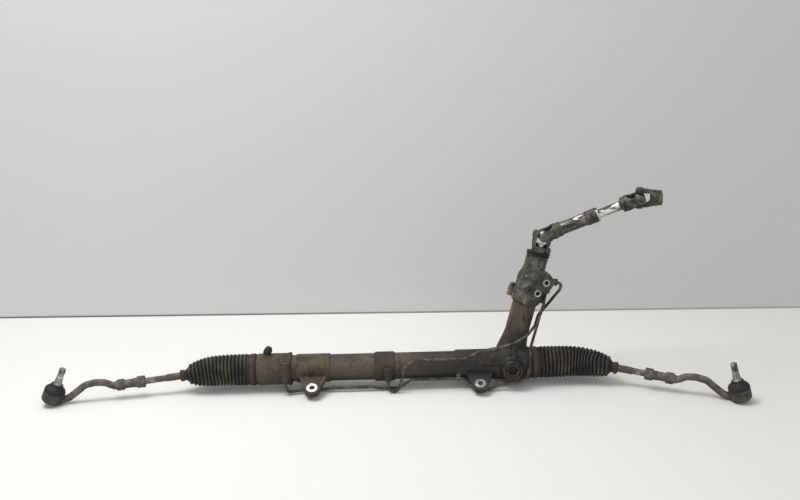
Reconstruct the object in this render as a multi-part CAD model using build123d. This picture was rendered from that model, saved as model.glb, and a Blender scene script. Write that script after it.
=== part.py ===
from build123d import *
from math import acos, atan2, cos, degrees, pi, radians, sin, sqrt, tan
import os

# Power steering rack with tie rods and intermediate shaft, in millimetres.
# The rack slides along X. Everything is drawn about the rack's centre line and
# moved by `place` when it is written: X to the right, Y to the rear, Z up.

rack_place_x, rack_place_y, rack_height = -2, 40, 39.3

# Housing stations along the rack
left_face, right_face = -258, 272
neck_length = 16
neck_radius = 27
end_length = 66
end_radius = 30.5
tube_radius, tube_wall = 25.8, 4.6
tube_seat = 28
pinion_left = 126
barrel_radius = 28.4
gearbox_radius = 31
seat_gap = 0.05
running_gap = 0.05

# Rack
rack_radius = 14
socket_reach = 22
rack_centre_shift = 10
rack_stroke = 150
piston_x, piston_width = -96, 20
bulkhead_x, bulkhead_width = 2, 18
bush_outer, bush_length = 18, 22
socket_bore, socket_depth = 19, 30
right_socket_depth = 26
breather_from_face = 12
breather_radius, elbow_radius = 3.5, 5.8
bellows_radius, bellows_tail, bellows_wall = 31, 18.5, 1.4
fold_pitch, fold_depth, bend_length, seat_length = 7.2, 4, 26, 2
flank_points = 6

# Gears, in the plane square to the pinion's axis
module = 2
teeth = 8
pressure_angle = radians(25)
profile_shift = 0.5
rack_addendum = 1.9
rack_tip_plane = 11
tooth_depth = 4.2
pinion_tip_radius = 10.2
pinion_root_radius = 6
pinion_face = 34
backlash = 0.15
pinion_x = 233
tilt, lean = 15, 5
pitch_plane = rack_tip_plane - rack_addendum
pinion_offset = pitch_plane + module * teeth / 2 + profile_shift
circular_pitch = pi * module

# Tower, measured along the pinion's axis from the rack's centre line
tower_radius = 24
tower_bottom = -33
flange_level = 135
flange_thickness = 10
flange_radius = 28
valve_block_top = 184
neck_top = 217
valve_radius = 27
valve_neck_radius = 21
sleeve_radius = 17.5
sleeve_low, sleeve_high = 146, 200
input_radius = 10
seal_radius, seal_thickness = 23, 5.5
bearing_radius, bearing_width = 17.5, 10
bearing_low_level, bearing_level = -28, 34
pinion_shaft_radius = 10
bolt_circle, bolt_shank = 33, 3
bolt_angles = (20, 150, 265)
hose_ports = ((15, 148), (26, 172))
hose_boss_radius, hose_bore, hose_face = 9, 6.5, 25
block_radius, block_front, block_back = 15, -22, 10
valve_pipe_y = -6
torsion_radius, torsion_low = 4.4, 60
seal_top = neck_top + seal_thickness
input_top = 240
spline_radius = 9
pinch_radius = 3.4
hub_gap = 1.5

# Support yoke, measured from the rack's centre line towards the front
yoke_radius = 15
yoke_back = 7
yoke_length = 20
yoke_boss_radius = 19
yoke_boss_end = 49
adjuster_length = 10
spring_wire = 2.4
spring_radius = 7

# Mounting ears: the bolt axis rises towards the front
ear_rise = 65
ear_reach = 57
ear_radius = 14.5
ear_height, ear_lift = 12, 2
left_ear_x, right_ear_x = -149, 171
bush_radius, bolt_radius = 10.5, 5
web_thickness, web_half, web_root = 8.4, 31, 16

# Hydraulic ports and pipes
pipe_radius, pipe_bend = 2.8, 14
left_port_x, centre_port_x = -201, -4
port_radius, port_bore, port_boss_radius = 5, 2.5, 8.5
port_out, port_lean, port_floor, port_face = 33, 15, 1, 8
left_port_top, centre_port_top = 24, 9
collar_left, collar_right = -30, 9
band_radius = 27.8
union_length, union_across = 8, 12
clip_x, clip_line = 131, (-26, -18.5)
left_pipe_route = [(-196, -38, -32), (-172, -31, -32.5), (-128, -28, -33), (-110, -28, -30), (-38, -28, -30),
                   (-22, -28, -33.5), (16, -28, -34), (40, *clip_line), (143, *clip_line), (168, -44, -33),
                   (190, -45, -34.5), (210, -40, -24), (240, -40, -23), (262, -38, -15), (267, -37, 12),
                   (268, -35, 47), (275, -31, 70), (287, -14, 100), (298, 10, 114)]
centre_pipe_route = [(-1, -40, -35), (14, -41, -35), (22, -39, -14), (26, -36, 10), (40, -32, 20),
                     (66, -29, 23), (144, -29, 23), (166, -29, 35), (193, -29, 39), (236, -30, 52),
                     (262, -20, 63), (281, 2, 75), (291, 28, 87), (305, 36, 99), (318, 26, 122), (332, 22, 142)]

# Intermediate shaft
joint_level = 256
arm_radius = 5
cap_radius = 6.8
yoke_half = 18
fork_base = 5
ear_thick = 7
ear_round = 8.4
crotch = 22
fork_hub, shoulder, arch = 15, 14, 5
slide_range = 25
flat_half = 7
shaft_turn, shaft_rise = -4, 22
shaft_length = 192
sleeve_end = 111
shaft_outer, shaft_band, band_length = 12.5, 14, 25
inner_shaft_radius = 8.5
inner_start = 60
column_drop = 22
column_bore = 9
column_hub = 14
yoke_block, block_corner = 12.5, 5

# Tie rods
inner_left, inner_right = 336, 371
left_rod_length, right_rod_length = 310, 294
left_outer_y, right_outer_y = -50, -111
left_stud_lean, right_stud_lean = 25, 16
ball_radius, liner_wall = 11, 2
mouth_angle, liner_mouth = radians(53), radians(54)
socket_radius = 17
rod_neck, rod_radius, thread_radius = 5.5, 7, 6
cuff_low, cuff_high, cuff_neck, cuff_radius = 61, 72, 7.2, 10
thread_start, thread_end = 98, 126
sleeve_reach, sleeve_radius_rod = 147, 8.4
nut_length, nut_across = 24, 20
hex_low, hex_high, hex_across = 118, 132, 19
toe_range = 12
outer_ball, outer_liner_radius = 12.5, 15
cup_radius, cup_base_radius = 19.6, 16
cup_low, cup_high = -15, 12
stud_length, stud_neck, stud_radius, stud_base = 57, 6, 6.2, 7.4
arm_thickness = 13.4
arm_route = [(9, -13), (27, -11), (45, 0), (60, 10), (80, 12), (97, 9), (111, 0), (126, 0)]

# ---------------------------------------------------------------- frames

place = Pos(rack_place_x, rack_place_y, rack_height)
tower = Rot(-lean, 0, 0) * Pos(pinion_x, pinion_offset, 0) * Rot(0, tilt, 0)
yoke_line = Rot(-lean, 0, 0) * Pos(pinion_x, 0, 0) * Rot(90, 0, 0)
ear_frame = Rot(270 - ear_rise, 0, 0) * Pos(0, 0, -ear_lift)
lower_joint = (tower * Pos(0, 0, joint_level)).position
tower_side = (tower * Pos(1, 0, 0)).position - tower.position


def direction(turn, rise):
    turn, rise = radians(turn), radians(rise)
    return Vector(cos(rise) * cos(turn), cos(rise) * sin(turn), sin(rise))


shaft_line = direction(shaft_turn, shaft_rise)
fork_line = tower_side.cross(shaft_line).normalized()
upper_joint = lower_joint + shaft_line * shaft_length
column_line = shaft_line.rotate(Axis((0, 0, 0), fork_line), -column_drop)
shaft_frame = Plane(lower_joint, x_dir=fork_line, z_dir=shaft_line).location
lower_cross_frame = Plane(lower_joint, x_dir=fork_line, z_dir=fork_line.cross(tower_side)).location
upper_cross_frame = Plane(upper_joint, x_dir=fork_line, z_dir=column_line).location
column_frame = Plane(upper_joint, x_dir=column_line.cross(fork_line), z_dir=column_line).location


class Side:
    # One tie rod: where its two ball joints are, and the frames along it.
    def __init__(self, name, sign, inner_x, rod_length, outer_y, stud_lean):
        self.name, self.sign, self.length = name, sign, rod_length
        self.inner = Vector(sign * inner_x, 0, 0)
        stud_tilt = radians(stud_lean)
        outer_z = cup_base_radius * sin(stud_tilt) - cup_low * cos(stud_tilt) - rack_height
        reach = sqrt(rod_length ** 2 - outer_y ** 2 - outer_z ** 2)
        self.outer = self.inner + Vector(sign * reach, outer_y, outer_z)
        self.rod_line = (self.outer - self.inner).normalized()
        self.level = Vector(0, 0, 1).cross(self.rod_line).normalized()
        self.socket = Pos(self.inner.X, 0, 0) * Rot(0, 90 * sign, 0)
        self.rod = Plane(self.inner, x_dir=self.level, z_dir=self.rod_line).location
        self.arm = Plane(self.outer, x_dir=-self.rod_line, z_dir=self.level).location
        inward = Vector(-self.rod_line.X, -self.rod_line.Y, 0).normalized()
        stud_line = Vector(0, 0, cos(stud_tilt)) + inward * sin(stud_tilt)
        self.cup = Plane(self.outer, x_dir=self.level, z_dir=stud_line).location


sides = [
    Side("left", -1, inner_left, left_rod_length, left_outer_y, left_stud_lean),
    Side("right", 1, inner_right, right_rod_length, right_outer_y, right_stud_lean),
]

# ---------------------------------------------------------------- helpers


def turned(*points):
    # A solid of revolution about Z from (radius, height) points.
    return revolve(make_face(Plane.XZ * Polyline(*points, close=True)), Axis.Z)


def rod(radius, low, high):
    return Pos(0, 0, (low + high) / 2) * Cylinder(radius, high - low)


def tube(outer, inner, low, high):
    return rod(outer, low, high) - rod(inner, low, high)


def hexagon(across, low, high):
    return Pos(0, 0, low) * extrude(RegularPolygon(across / 2, 6, major_radius=False), high - low)


def along_x(shape):
    return Rot(0, 90, 0) * shape


def bent_line(points, bend):
    # Straight runs joined by tangent arcs, each as large as `bend` or its runs allow.
    points = [Vector(*p) for p in points]
    edges, start = [], points[0]
    for before, corner, after in zip(points, points[1:], points[2:]):
        a, b = (before - corner), (after - corner)
        turn = pi - radians(a.get_angle(b))
        radius = min(bend, 0.45 * min(a.length, b.length) / tan(turn / 2))
        cut = radius * tan(turn / 2)
        a, b = a.normalized(), b.normalized()
        middle = corner + (a + b).normalized() * radius * (1 / cos(turn / 2) - 1)
        edges += [Line(start, corner + a * cut), ThreePointArc(corner + a * cut, middle, corner + b * cut)]
        start = corner + b * cut
    return Wire(edges + [Line(start, points[-1])])


def bent_rod(points, radius, bend):
    path = bent_line(points, bend)
    return sweep(Plane(path @ 0, z_dir=path % 0) * Circle(radius), path=path)


# ---------------------------------------------------------------- housing


def cylinder_tube():
    bore = tube_radius - tube_wall
    left, right = left_face + end_length - tube_seat, pinion_left + tube_seat
    return along_x(tube(tube_radius, bore, left, right))


def cylinder_end_housing():
    # End casting: bellows neck, tube seat, port boss and breather boss.
    left, right = left_face - neck_length, left_face + end_length
    body = turned((0, left), (neck_radius + 0.8, left), (neck_radius + 0.8, left + 3), (neck_radius, left + 4),
                  (neck_radius, left_face), (end_radius - 2, left_face), (end_radius, left_face + 3),
                  (end_radius, right - 5), (end_radius + 1.5, right - 4), (end_radius + 1.5, right), (0, right))
    body -= rod(rack_radius + 1, left - 1, right)
    body -= rod(tube_radius + seat_gap, right - tube_seat, right + 1)
    body -= rod(bush_outer, left - 1, left + socket_depth + bush_length)
    body -= rod(socket_bore, left - 1, left + socket_depth)
    body = along_x(body)
    body += port_boss(left_port_x, left_port_top)
    body += breather_frame * rod(elbow_radius + 1, tube_radius, end_radius + 3)
    body -= breather_frame * rod(breather_radius, tube_radius + 3, end_radius + 9)
    body -= port_hole(left_port_x)
    body -= along_x(rod(tube_radius + seat_gap, right - tube_seat, right + 1))
    return body


# Where the two pipes enter the valve block: from below, and from its right side.
(port_low_x, port_low_z), (port_high_x, port_high_z) = hose_ports
valve_ports = [
    (tower * Pos(port_high_x + 8, valve_pipe_y, port_high_z) * Rot(180, 0, 0), 8, 14),
    (tower * Pos(port_high_x, valve_pipe_y, port_high_z + 2) * Rot(0, 90, 0), 9, 15.5),
]


def port_frame(x):
    # Pipe port in front of the tube, facing down and a little forwards.
    return Pos(x, -port_out, 0) * Rot(180 - port_lean, 0, 0)


def port_boss(x, top):
    boss = rod(port_boss_radius, -top, port_face - 1.5)
    return port_frame(x) * (boss + rod(port_boss_radius - 1, -top, port_face))


def port_hole(x):
    # Threaded mouth, a drilling up the boss and one from it to the tube.
    hole = rod(port_radius + seat_gap, port_floor, port_face + 1) + rod(port_bore, 0, port_floor + 1)
    return port_frame(x) * hole + Pos(x, 0, 0) * Rot(90, 0, 0) * rod(port_bore, 0, port_out + port_bore)


breather_frame = Pos(left_face + breather_from_face, 0, 0) * Rot(0, 12, 0)


def breather_nipple():
    # Rubber elbow that closes the bellows' balance hose port.
    low, seat = tube_radius + 3 + seat_gap, end_radius + 3 + seat_gap
    plug = rod(breather_radius - seat_gap, low, seat + 2)
    elbow = bent_rod([(0, 0, seat), (0, 0, seat + 8), (9, 0, seat + 15)], elbow_radius, 8)
    lip = Pos(7, 0, seat + 13.4) * Rot(0, 52, 0) * rod(elbow_radius + 0.9, -1.5, 1.5)
    return breather_frame * (plug + elbow + lip)


def rack_bush():
    left = left_face - neck_length + socket_depth
    return along_x(tube(bush_outer - seat_gap, rack_radius + running_gap, left, left + bush_length))


def bulkhead_seal():
    # Inner end wall of the pressure chamber, with its O-ring grooves.
    outer, left, right = tube_radius - tube_wall - seat_gap, bulkhead_x, bulkhead_x + bulkhead_width
    body = tube(outer, rack_radius + running_gap, left, right)
    for level in (left + 4, right - 7):
        body -= tube(outer + 1, outer - 1.6, level, level + 3)
    return along_x(body)


def ear(x):
    # Cast ear: a web that spreads to the tube, a raised rim along it and the bolt boss.
    foot = Line((x - web_half, web_root), (x + web_half, web_root))
    outline = make_hull([*(Pos(x, ear_reach) * Circle(ear_radius - 1)).edges(), foot])
    plate = extrude(outline, web_thickness / 2, both=True)
    rim = extrude(outline - offset(outline, -3.5), web_thickness / 2 + 1, both=True)
    boss = Pos(x, ear_reach, 0) * rod(ear_radius, -ear_height / 2, ear_height / 2)
    return ear_frame * (plate + rim + boss)


def ear_bore(x):
    return ear_frame * (Pos(x, ear_reach, 0) * rod(bush_radius + seat_gap, -ear_height, ear_height))


def left_mount_bracket():
    # Clamp band round the tube with a triangular ear.
    x, half = left_ear_x, web_half + 1
    body = ear(x) + along_x(rod(band_radius, x - half, x + half))
    body -= along_x(rod(tube_radius + seat_gap, x - half - 1, x + half + 1))
    return body - ear_bore(x)


def mount_bush(x):
    outer = tube(bush_radius, bolt_radius, -ear_height / 2 - 1, ear_height / 2 + 1)
    return ear_frame * (Pos(x, ear_reach, 0) * outer)


def centre_port_collar():
    left, right = collar_left, collar_right
    outer = band_radius + 0.6
    body = turned((0, left), (tube_radius + 1, left), (outer, left + 2), (outer, right - 2),
                  (tube_radius + 1, right), (0, right))
    body = along_x(body) + port_boss(centre_port_x, centre_port_top) - port_hole(centre_port_x)
    return body - along_x(rod(tube_radius + seat_gap, left - 1, right + 1))


def pinion_housing():
    # Gearbox casting: rack barrel, tower, yoke boss and right mounting ear.
    left, right = pinion_left, right_face
    barrel = turned((0, left), (barrel_radius - 1.5, left), (barrel_radius, left + 2), (barrel_radius, 190),
                    (gearbox_radius, 204), (gearbox_radius, right - 3), (gearbox_radius - 1.5, right),
                    (neck_radius, right), (neck_radius, right + neck_length - 4),
                    (neck_radius + 0.8, right + neck_length - 3), (neck_radius + 0.8, right + neck_length),
                    (0, right + neck_length))
    body = along_x(barrel)
    body += tower * turned((0, tower_bottom), (tower_radius - 2, tower_bottom), (tower_radius, tower_bottom + 2),
                           (tower_radius + 2, -10), (tower_radius + 6, 22), (tower_radius + 1, 46),
                           (tower_radius - 1, 60), (tower_radius - 1, flange_level - 16),
                           (flange_radius, flange_level - flange_thickness), (flange_radius, flange_level),
                           (0, flange_level))
    for angle in bolt_angles:
        boss = Rot(0, 0, angle) * (Pos(bolt_circle, 0, 0) * rod(7, flange_level - flange_thickness, flange_level))
        body += tower * boss
    body += yoke_line * turned((0, 0), (yoke_boss_radius + 5, 0), (yoke_boss_radius + 5, gearbox_radius - 2),
                               (yoke_boss_radius, gearbox_radius + 4), (yoke_boss_radius, yoke_boss_end - 1.5),
                               (yoke_boss_radius - 1.5, yoke_boss_end), (0, yoke_boss_end))
    # Ribs: one along the barrel, and one from the yoke boss up to the tower's foot.
    body += Pos((left + pinion_x) / 2, -barrel_radius + 2, 12) * Box(pinion_x - left - 12, 9, 4)
    foot = Polyline((-10, 12), (-gearbox_radius - 8, 12), (-tower_radius + 2, 44), (-10, 44), close=True)
    body += Pos(pinion_x + 4, 0, 0) * extrude(Plane.YZ * make_face(foot), 3, both=True)
    body += ear(right_ear_x)
    body -= ear_bore(right_ear_x)
    body -= along_x(rod(rack_radius + 2, left + tube_seat - 1, right + neck_length + 1))
    body -= along_x(rod(tube_radius + seat_gap, left - 1, left + tube_seat + 1))
    mouth = right + neck_length
    body -= along_x(rod(socket_bore, mouth - right_socket_depth, mouth + 1))
    body -= tower * rod(pinion_tip_radius + 3, tower_bottom - 1, flange_level + 1)
    body -= tower * rod(bearing_radius + seat_gap, tower_bottom - 1, bearing_low_level + bearing_width)
    body -= tower * rod(bearing_radius + seat_gap, bearing_level, flange_level + 1)
    body -= yoke_line * rod(yoke_radius + running_gap, 0, yoke_boss_end + 1)
    for angle in bolt_angles:
        hole = Rot(0, 0, angle) * (Pos(bolt_circle, 0, 0) * rod(bolt_shank, 0, flange_level + 1))
        body -= tower * hole
    return body


def valve_housing():
    # Rotary valve casting with the hose port block on its right.
    low, top = flange_level, neck_top
    body = turned((0, low), (flange_radius, low), (flange_radius, low + 8), (valve_radius, low + 9),
                  (valve_radius, valve_block_top - 10), (valve_neck_radius + 2, valve_block_top),
                  (valve_neck_radius, valve_block_top + 8), (valve_neck_radius, top - 1),
                  (valve_neck_radius - 1, top), (0, top))
    for angle in bolt_angles:
        body += Rot(0, 0, angle) * (Pos(bolt_circle, 0, 0) * rod(7, low, low + 9))
    (low_x, low_z), (high_x, high_z) = hose_ports
    corners = [(low_x, low_z, hose_boss_radius), (high_x, high_z, block_radius), (0, low + 17, 12), (0, top - 32, 10)]
    outline = make_hull([edge for x, z, r in corners for edge in (Pos(x, z) * Circle(r)).edges()])
    body += Rot(90, 0, 0) * Pos(0, 0, -block_back) * extrude(outline, block_back - block_front)
    for x, level in hose_ports:
        boss = Pos(x, 0, level) * Rot(90, 0, 0) * rod(hose_boss_radius, 0, hose_face)
        body += boss
    body += Pos(-6, -valve_radius + 4, low + 25) * Rot(0, 50, 0) * Cylinder(4.6, 26)
    for angle in (40, 220):
        body += Rot(0, 0, angle) * (Pos(valve_neck_radius, 0, 0) * rod(5.5, top - 22, top - 8))
    body += Pos(10, -valve_neck_radius + 1, top - 14) * Box(10, 6, 13)
    body -= rod(sleeve_radius + running_gap, low - 1, sleeve_high + 3)
    body -= rod(input_radius + 1.2, low, top + 1)
    for angle in bolt_angles:
        body -= Rot(0, 0, angle) * (Pos(bolt_circle, 0, 0) * rod(bolt_shank, low - 1, top))
        body -= Rot(0, 0, angle) * (Pos(bolt_circle, 0, 0) * rod(7.2, low + 9, low + 24))
    for x, level in hose_ports:
        body -= Pos(x, 0, level) * Rot(90, 0, 0) * rod(hose_bore, 19, hose_face + 1)
    body = tower * body
    for frame, floor, face in valve_ports:
        body -= frame * (rod(port_radius + seat_gap, floor, face) + rod(port_bore, floor - 6, floor + 1))
        body -= frame * rod(union_across * 0.6, face, face + union_length + 1)
    return body


def valve_bolts():
    low = flange_level - flange_thickness
    bolt = rod(bolt_shank - seat_gap, low, flange_level + 9) + hexagon(10, flange_level + 9, flange_level + 15)
    return tower * Compound([Rot(0, 0, angle) * (Pos(bolt_circle, 0, 0) * bolt) for angle in bolt_angles])


def dust_seal():
    low = neck_top
    lips = turned((input_radius + 0.3, low), (seal_radius - 1, low), (seal_radius, low + 1),
                  (seal_radius - 2.5, low + 3), (seal_radius, low + 5), (seal_radius - 2, low + seal_thickness),
                  (input_radius + 0.3, low + seal_thickness))
    return tower * lips


def pinion_bearing(low):
    return tower * tube(bearing_radius, pinion_shaft_radius, low, low + bearing_width)


def pinion_bottom_cap():
    high = bearing_low_level
    body = turned((0, tower_bottom - 2), (12, tower_bottom - 2), (bearing_radius, tower_bottom),
                  (bearing_radius, high), (0, high))
    return tower * (body - hexagon(12, tower_bottom - 3, tower_bottom + 1))


def support_yoke():
    body = rod(yoke_radius, yoke_back, yoke_back + yoke_length)
    body -= rod(spring_radius + spring_wire, yoke_back + yoke_length - 5, yoke_back + yoke_length + 1)
    body = yoke_line * body
    return body - along_x(rod(rack_radius + running_gap, 0, 2 * pinion_x))


def yoke_spring():
    # Two disc springs, cupped towards each other.
    low, high = yoke_back + yoke_length - 5, yoke_boss_end - adjuster_length - 1
    middle, inner, outer = (low + high) / 2, spring_radius - 2, spring_radius + spring_wire - 0.2
    disc = turned((inner, low), (inner + 1, low), (outer, middle - spring_wire), (outer, middle),
                  (outer - 1, middle), (inner, low + spring_wire))
    return yoke_line * (disc + mirror(Pos(0, 0, -middle) * disc, Plane.XY).moved(Pos(0, 0, middle)))


def yoke_adjuster():
    # Threaded plug that sets the yoke's clearance, with a hexagon socket.
    low, high = yoke_boss_end - adjuster_length - 1, yoke_boss_end - 1
    body = turned((0, low), (yoke_radius, low), (yoke_radius, high - 1.5), (yoke_radius - 1.5, high), (0, high))
    return yoke_line * (body - hexagon(17, high - 7, high + 1))


def port_union(frame, floor, face, across):
    body = rod(port_radius - 0.5, floor, face) + hexagon(across, face, face + union_length)
    return frame * (body - rod(pipe_radius + seat_gap, floor - 1, face + union_length + 1))


def pipe_unions():
    unions = [port_union(port_frame(x), port_floor, port_face, union_across) for x in (left_port_x, centre_port_x)]
    unions += [port_union(*port, union_across) for port in valve_ports]
    return Compound(unions)


def pipe(start, floor, route, end):
    # A pipe from the floor of one port, out through its union nut, to the floor of the other.
    valve_frame, valve_floor, valve_face = end
    first = [reach_of(start, floor), reach_of(start, port_face + union_length + 8)]
    last = [reach_of(valve_frame, valve_face + union_length + 8), reach_of(valve_frame, valve_floor)]
    return bent_rod([*first, *route, *last], pipe_radius, pipe_bend)


def reach_of(frame, reach):
    end = (frame * Pos(0, 0, reach)).position
    return (end.X, end.Y, end.Z)


def left_pipe():
    # From the left port under the tube and behind the tower to the valve block.
    return pipe(port_frame(left_port_x), port_floor, left_pipe_route, valve_ports[0])


def centre_pipe():
    return pipe(port_frame(centre_port_x), port_floor, centre_pipe_route, valve_ports[1])


def pipe_clip():
    # Bracket on the housing that holds the left pipe.
    y, z = clip_line
    hold = Pos(clip_x, y, z) * along_x(rod(pipe_radius + 1.6, -4, 4))
    hold += Pos(clip_x, y, z + 6) * Box(8, 2.4, 12)
    hold -= along_x(rod(barrel_radius + seat_gap, 0, right_face))
    return hold - Pos(clip_x, y, z) * along_x(rod(pipe_radius + seat_gap, -5, 5))


def bellows_plane(side, reach):
    # Across the bellows' centre line, at a reach from the ball joint: it follows the rack,
    # turns along a parabola as long as twice `bend_length`, and then follows the tie rod.
    rack_line = Vector(side.sign, 0, 0)
    share = min(max((reach + bend_length) / (2 * bend_length), 0), 1)
    line = (rack_line * (1 - share) + side.rod_line * share).normalized()
    middle = side.inner + (side.rod_line * share ** 2 - rack_line * (1 - share) ** 2) * bend_length
    beyond = reach - max(min(reach, bend_length), -bend_length)
    return Plane(middle + line * beyond, x_dir=line.cross(Vector(0, 0, 1)), z_dir=line)


def folded_skin(side, low, high, inset):
    # Skin through every crest and valley; the folds get smaller towards the rod.
    count = round((high - low) / fold_pitch)
    rings = []
    for i in range(2 * count + 1):
        share = i / (2 * count)
        crest = bellows_radius + (bellows_tail - bellows_radius) * share ** 3
        radius = crest - (0 if i % 2 else fold_depth) - inset
        rings.append(bellows_plane(side, low + (high - low) * share) * Circle(radius))
    return loft(rings, ruled=True)


def bellows(side, face):
    # Rubber bellows: a seat on the housing's neck, folds down to a cuff on the tie rod.
    turn = Rot(0, 90 * side.sign, 0)
    start = abs(face) + 1
    low, high = start + neck_length + seat_length - abs(side.inner.X), cuff_low - 5
    seat_end = start + neck_length + seat_length
    seat_radius, valley = bellows_radius - 1.5, bellows_radius - fold_depth
    cuff = cuff_neck + bellows_wall + 0.4
    seat = turned((0, start), (seat_radius, start), (seat_radius, seat_end - 3), (valley, seat_end), (0, seat_end))
    seat -= turned((0, start - 1), (neck_radius + 0.9, start - 1), (neck_radius + 0.9, seat_end - 3),
                   (valley - bellows_wall, seat_end), (0, seat_end))
    end = bellows_tail - fold_depth
    tail = turned((0, high), (end, high), (cuff_radius, cuff_low), (cuff_radius, cuff_high - 0.3),
                  (0, cuff_high - 0.3))
    tail -= turned((0, high), (end - bellows_wall, high), (cuff, cuff_low - 1), (cuff, cuff_low + seat_gap),
                   (cuff_neck + seat_gap, cuff_low + seat_gap), (cuff_neck + seat_gap, cuff_high), (0, cuff_high))
    folds = folded_skin(side, low, high, 0) - folded_skin(side, low, high, bellows_wall)
    return turn * seat + folds + side.rod * tail


def large_clamp(sign, face):
    low = abs(face) + 4
    band = tube(bellows_radius - 0.2, bellows_radius - 1.5 + seat_gap, low, low + 8)
    band += Rot(0, 0, 90 - 60 * sign) * Pos(bellows_radius + 1, 0, low + 4) * Box(5, 9, 6)
    band -= rod(bellows_radius - 1.5 + seat_gap, low - 1, low + 9)
    return Rot(0, 90 * sign, 0) * band


def small_clamp(side):
    middle = cuff_high - 4
    band = tube(cuff_radius + 1.2, cuff_radius + seat_gap, middle - 3, middle + 3)
    tab = Pos(0, 0, middle) * Rot(0, 0, 200) * Pos(cuff_radius + 3, 0, 0) * Box(5, 5, 4)
    return side.rod * (band + tab - rod(cuff_radius + seat_gap, middle - 4, middle + 4))


# ---------------------------------------------------------------- rack


def rack_bar():
    # Round bar with a toothed flat towards the pinion, cut along the pinion's axis.
    low, high = socket_reach - inner_left, inner_right - socket_reach
    body = along_x(rod(rack_radius, low, high))
    zone = rack_stroke / 2 + 16
    flat = Rot(-lean, 0, 0) * Pos(pinion_x + rack_centre_shift, rack_tip_plane + 10, 0) * Box(2 * zone, 20, 60)
    body -= flat
    tooth_plane = tower * Pos(0, rack_tip_plane - pinion_offset, 0)
    slope = tan(pressure_angle)
    gap_tip = (circular_pitch / 2 + backlash + 2 * rack_addendum * slope) / 2
    gap_root = gap_tip - tooth_depth * slope
    profile = Polyline((-gap_tip - slope, 1), (gap_tip + slope, 1), (gap_root, -tooth_depth),
                       (-gap_root, -tooth_depth), close=True)
    gap = Pos(0, 0, -30) * extrude(make_face(profile), 60)
    pitch_along = circular_pitch / cos(radians(tilt))
    first = -int((zone - rack_centre_shift - 8) / pitch_along)
    last = int((zone + rack_centre_shift - 8) / pitch_along)
    gaps = [Pos(i * pitch_along, 0, 0) * tooth_plane * gap for i in range(first, last + 1)]
    body -= gaps
    groove = tube(rack_radius + 1, rack_radius - 1, piston_x - piston_width / 2 - 2, piston_x - piston_width / 2)
    return body - along_x(groove)


def piston():
    outer, half = tube_radius - tube_wall - running_gap, piston_width / 2
    body = tube(outer - 0.6, rack_radius, -half, half)
    body += tube(outer, rack_radius, -half + 3, half - 3)
    body -= tube(outer + 1, outer - 0.7, -1.5, 1.5)
    return Pos(piston_x, 0, 0) * along_x(body)


def inner_socket(side):
    # Steel cup crimped round the ball and its liner, screwed on the rack's end.
    cavity = ball_radius + liner_wall + 2 * running_gap
    lip = -socket_reach
    body = turned((0, lip), (rack_radius, lip), (socket_radius - 1, lip + 4), (socket_radius, lip + 5),
                  (socket_radius, 3), (socket_radius - 1, 5), (socket_radius - 2.4, 7), (0, 7))
    for angle in (0, 180):
        body -= Rot(0, 0, angle) * (Pos(socket_radius + 4, 0, lip + 4) * Box(10, 40, 10))
    body -= Sphere(cavity)
    body -= turned((0, 0), (cavity * sin(mouth_angle), cavity * cos(mouth_angle)), (24, 20), (0, 20))
    return side.socket * body


def inner_liner(side):
    # Bearing shell: swings with the rod, open where the rod leaves it.
    body = Sphere(ball_radius + liner_wall + running_gap) - Sphere(ball_radius + running_gap)
    body -= turned((0, 0), (14 * sin(liner_mouth), 14 * cos(liner_mouth)), (30, 14 * cos(liner_mouth) + 1), (0, 30))
    body -= Pos(0, 0, -ball_radius - 8) * Box(40, 40, 20)
    flat = direction(degrees(atan2(side.rod_line.Y, side.rod_line.X)), 0)
    return Plane(side.inner, z_dir=flat).location * body


def inner_tie_rod(side):
    end = side.length - thread_end
    nut = side.length - sleeve_reach - nut_length
    shape = turned((0, 0), (rod_neck, 0), (rod_neck, 20), (rod_radius + 1.5, 24), (cuff_neck + 1.5, cuff_low - 1),
                   (cuff_neck + 1.5, cuff_low), (cuff_neck, cuff_low), (cuff_neck, cuff_high),
                   (rod_radius + 0.8, cuff_high), (rod_radius, cuff_high + 2), (rod_radius, thread_start),
                   (thread_radius, thread_start + 1.5), (thread_radius, end - 1), (thread_radius - 1, end), (0, end))
    shape += Sphere(ball_radius)
    shape -= Pos(0, 0, -ball_radius) * Box(20, 20, 2 * (ball_radius - 9))
    flats = Pos(0, 0, nut - 12)
    for angle in (0, 180):
        shape -= flats * Rot(0, 0, angle) * Pos(thread_radius + 4.2, 0, 0) * Box(10, 20, 8)
    return side.rod * shape


def lock_nut(side):
    low = side.length - sleeve_reach - nut_length
    body = hexagon(nut_across, low, low + nut_length - 9)
    body += turned((0, low + nut_length - 9), (nut_across / 2 - 1, low + nut_length - 9),
                   (nut_across / 2 - 1, low + nut_length - 3), (sleeve_radius_rod, low + nut_length - seat_gap),
                   (0, low + nut_length - seat_gap))
    return side.rod * (body - rod(thread_radius, low - 1, low + nut_length))


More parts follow.
